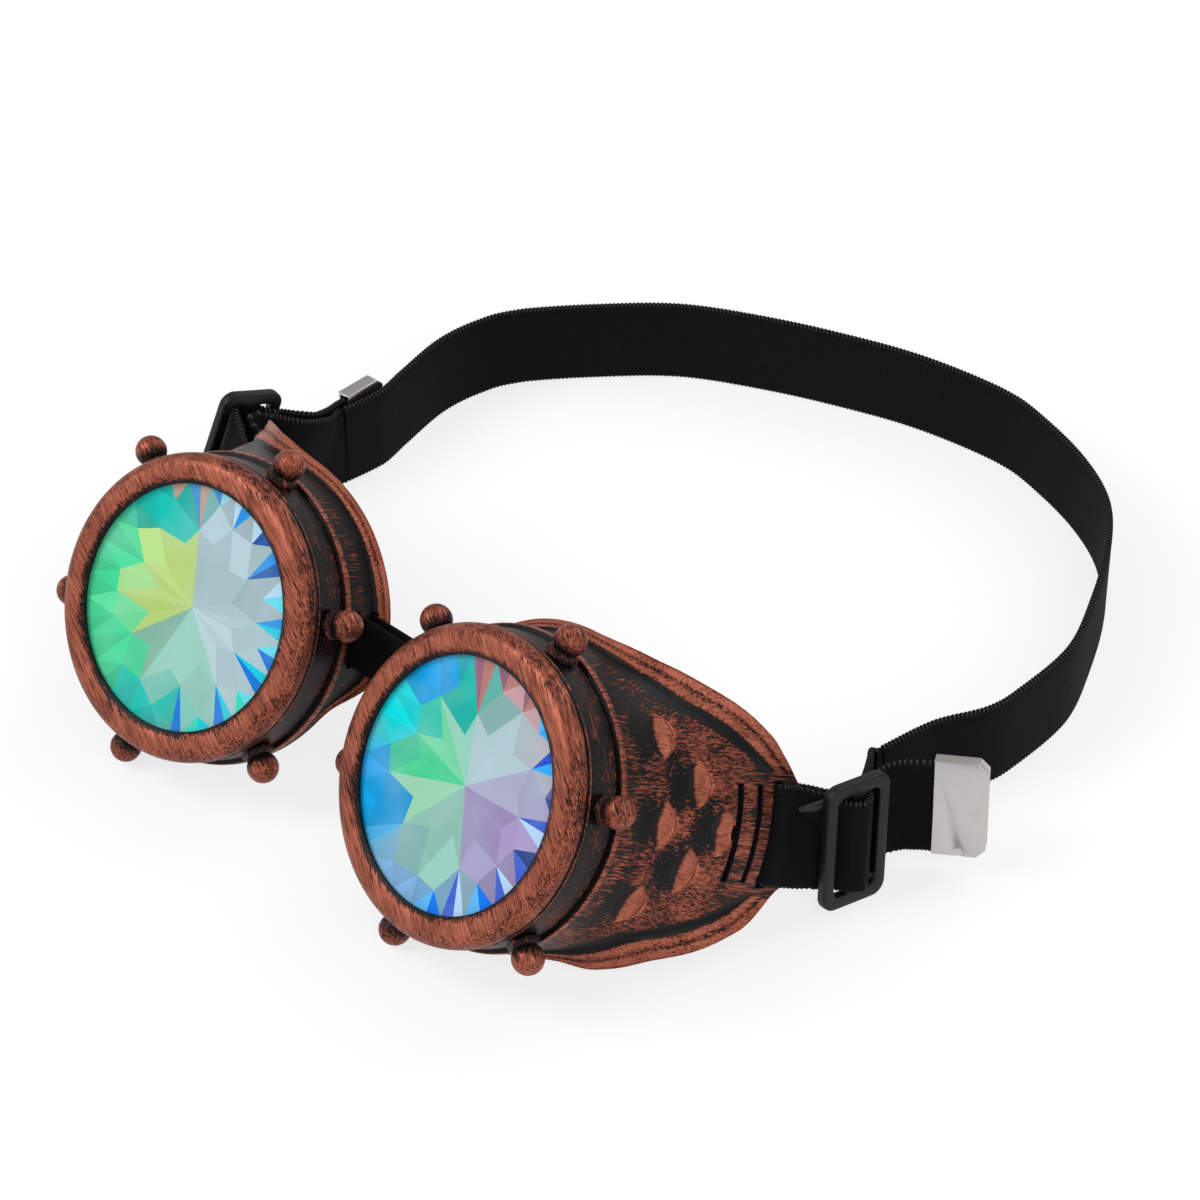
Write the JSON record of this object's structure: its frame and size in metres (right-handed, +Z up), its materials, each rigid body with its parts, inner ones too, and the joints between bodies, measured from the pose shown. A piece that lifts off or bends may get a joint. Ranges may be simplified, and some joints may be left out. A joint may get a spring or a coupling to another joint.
{
  "type": "costume goggles",
  "caption": "Round-lens costume goggles with screw bezels, ball studs, curved side shields, a nose band and an adjustable elastic head strap.",
  "frame": {"origin": "middle of the underside of the whole pair as it stands on a table, strap included", "axes": "+X to the wearer's left, +Y from the lenses back along the head, +Z up from the table"},
  "size_m": [0.197, 0.2052, 0.064],
  "materials": {
    "brushed_copper_plastic": "black moulded plastic, dry-brushed with copper paint",
    "black_elastic": "woven elastic with ribbed edges",
    "black_plastic": "satin moulded plastic",
    "nickel_steel": "bright nickel plate on folded sheet",
    "seat_rubber": "plain matt",
    "cut_glass": "clear, faceted back with a many-coloured coating"
  },
  "bodies": {
    "left_cup": {"cup_left": "brushed_copper_plastic", "nose_band": "black_elastic", "strap_band": "black_elastic", "strap_loop_left": "black_elastic", "strap_lead_left": "black_elastic"},
    "right_cup": {"cup_right": "brushed_copper_plastic", "strap_loop_right": "black_elastic", "strap_lead_right": "black_elastic"},
    "left_carrier": {"lens_left": "cut_glass", "lens_seat_left": "seat_rubber"},
    "left_bezel": {"bezel_left": "brushed_copper_plastic", "stud_left_1": "brushed_copper_plastic", "stud_left_2": "brushed_copper_plastic", "stud_left_3": "brushed_copper_plastic", "stud_left_4": "brushed_copper_plastic", "stud_left_5": "brushed_copper_plastic", "stud_left_6": "brushed_copper_plastic"},
    "left_slider": {"slider_left": "black_plastic", "tail_clip_left": "nickel_steel"},
    "right_carrier": {"lens_right": "cut_glass", "lens_seat_right": "seat_rubber"},
    "right_bezel": {"bezel_right": "brushed_copper_plastic", "stud_right_1": "brushed_copper_plastic", "stud_right_2": "brushed_copper_plastic", "stud_right_3": "brushed_copper_plastic", "stud_right_4": "brushed_copper_plastic", "stud_right_5": "brushed_copper_plastic", "stud_right_6": "brushed_copper_plastic"},
    "right_slider": {"slider_right": "black_plastic", "tail_clip_right": "nickel_steel"}
  },
  "joints": [
    {"name": "nose_flex", "type": "hinge", "parent": "left_cup", "child": "right_cup", "pos_m": [-0.00279, -0.06459, 0.03073], "axis": [0, -0.5321, -0.8467], "range_deg": [-5, 25], "stiffness_Nm_per_rad": 0.3, "deforming": ["nose_band", "strap_band"]},
    {"name": "lens_lift_left", "type": "slide", "parent": "left_cup", "child": "left_carrier", "axis": [-0.0841, -0.8425, 0.5321], "range_m": [0, 0.0031]},
    {"name": "bezel_turn_left", "type": "hinge", "parent": "left_carrier", "child": "left_bezel", "pos_m": [0.0356, -0.08592, 0.03578], "axis": [-0.0841, -0.8425, 0.5321], "range_deg": [0, 360]},
    {"name": "slider_slide_left", "type": "slide", "parent": "left_cup", "child": "left_slider", "axis": [0.1503, 0.9786, -0.1402], "range_m": [-0.005, 0.005], "deforming": ["strap_loop_left", "strap_lead_left"]},
    {"name": "lens_lift_right", "type": "slide", "parent": "right_cup", "child": "right_carrier", "axis": [0.0841, -0.8425, 0.5321], "range_m": [0, 0.0031]},
    {"name": "bezel_turn_right", "type": "hinge", "parent": "right_carrier", "child": "right_bezel", "pos_m": [-0.04117, -0.08592, 0.03578], "axis": [0.0841, -0.8425, 0.5321], "range_deg": [0, 360]},
    {"name": "slider_slide_right", "type": "slide", "parent": "right_cup", "child": "right_slider", "axis": [0.1193, 0.9293, -0.3495], "range_m": [-0.005, 0.0025], "deforming": ["strap_loop_right", "strap_lead_right"]}
  ],
  "couplings": [
    {"joint": "lens_lift_left", "follows": "bezel_turn_left", "m_per_rad": 0.00047746},
    {"joint": "lens_lift_right", "follows": "bezel_turn_right", "m_per_rad": 0.00047746}
  ]
}
